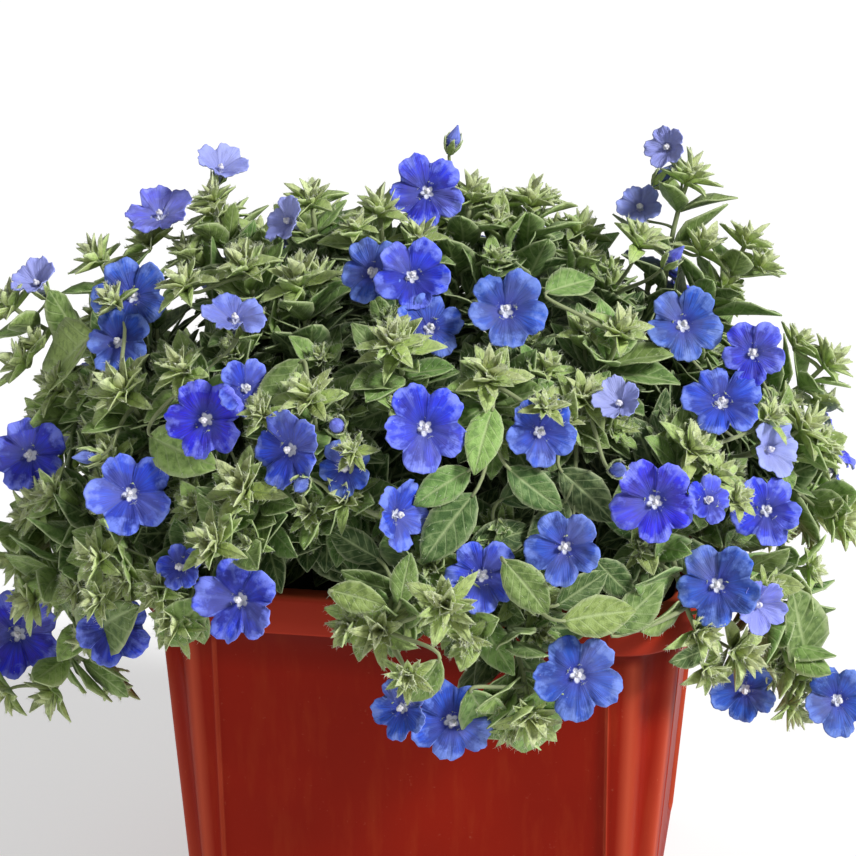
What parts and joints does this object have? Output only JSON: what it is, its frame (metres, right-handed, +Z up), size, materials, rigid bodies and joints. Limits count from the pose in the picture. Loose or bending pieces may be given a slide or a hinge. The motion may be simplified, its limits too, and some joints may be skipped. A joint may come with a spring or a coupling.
{
  "type": "potted dwarf morning glory",
  "caption": "Mound of trailing leafy stems with small five-lobed blue flowers, growing from soil in a square fluted planter that stands on its flat base.",
  "frame": {"origin": "middle of the planter's flat underside, where it rests on the ground", "axes": "+Z up out of the planter, -Y towards the viewer at the planter's front panel, +X to the viewer's right"},
  "size_m": [0.2837, 0.2413, 0.256],
  "materials": {
    "planter_plastic": "glossy moulded polypropylene, rust red",
    "potting_soil": null,
    "foliage": null,
    "petals": null
  },
  "bodies": {
    "root": {"planter": "planter_plastic", "potting_soil": "potting_soil", "leafy_stem_left_low": "foliage", "leafy_stem_left_middle": "foliage", "leafy_stem_left_top": "foliage", "leafy_stem_upper_left": "foliage", "leafy_stem_centre_left": "foliage", "leafy_stem_centre": "foliage", "leafy_stem_front_middle": "foliage", "leafy_stem_centre_right": "foliage", "leafy_stem_right_top": "foliage", "leafy_stem_right_low": "foliage", "leafy_stem_behind_1": "foliage", "leafy_stem_behind_2": "foliage", "leafy_stem_behind_3": "foliage", "leafy_stem_behind_4": "foliage", "bloom_left_low_1": "petals", "bloom_left_low_2": "petals", "bloom_left_low_3": "petals", "bloom_left_middle_1": "petals", "bloom_left_middle_2": "petals", "bloom_left_middle_3": "petals", "bloom_left_top_1": "petals", "bloom_left_top_2": "petals", "bloom_upper_left_1": "petals", "bloom_upper_left_2": "petals", "bloom_upper_left_3": "petals", "bloom_upper_left_4": "petals", "bloom_centre_left_1": "petals", "bloom_centre_left_2": "petals", "bloom_centre_1": "petals", "bloom_centre_2": "petals", "bloom_centre_3": "petals", "bloom_centre_4": "petals", "bloom_centre_5": "petals", "bloom_front_middle_1": "petals", "bloom_front_middle_2": "petals", "bloom_front_middle_3": "petals", "bloom_centre_right_1": "petals", "bloom_centre_right_2": "petals", "bloom_centre_right_3": "petals", "bloom_centre_right_4": "petals", "bloom_right_top_1": "petals", "bloom_right_top_2": "petals", "bloom_right_top_3": "petals", "bloom_right_top_4": "petals", "bloom_right_top_5": "petals", "bloom_right_low_1": "petals", "bloom_right_low_2": "petals", "bloom_right_low_3": "petals", "bloom_right_low_4": "petals", "bloom_right_low_5": "petals", "bloom_behind_1_1": "petals", "bloom_behind_1_2": "petals", "bloom_behind_2_1": "petals", "bloom_behind_2_2": "petals", "bloom_behind_3_1": "petals", "bloom_behind_3_2": "petals", "bloom_behind_4_1": "petals", "bloom_behind_4_2": "petals"}
  },
  "joints": []
}
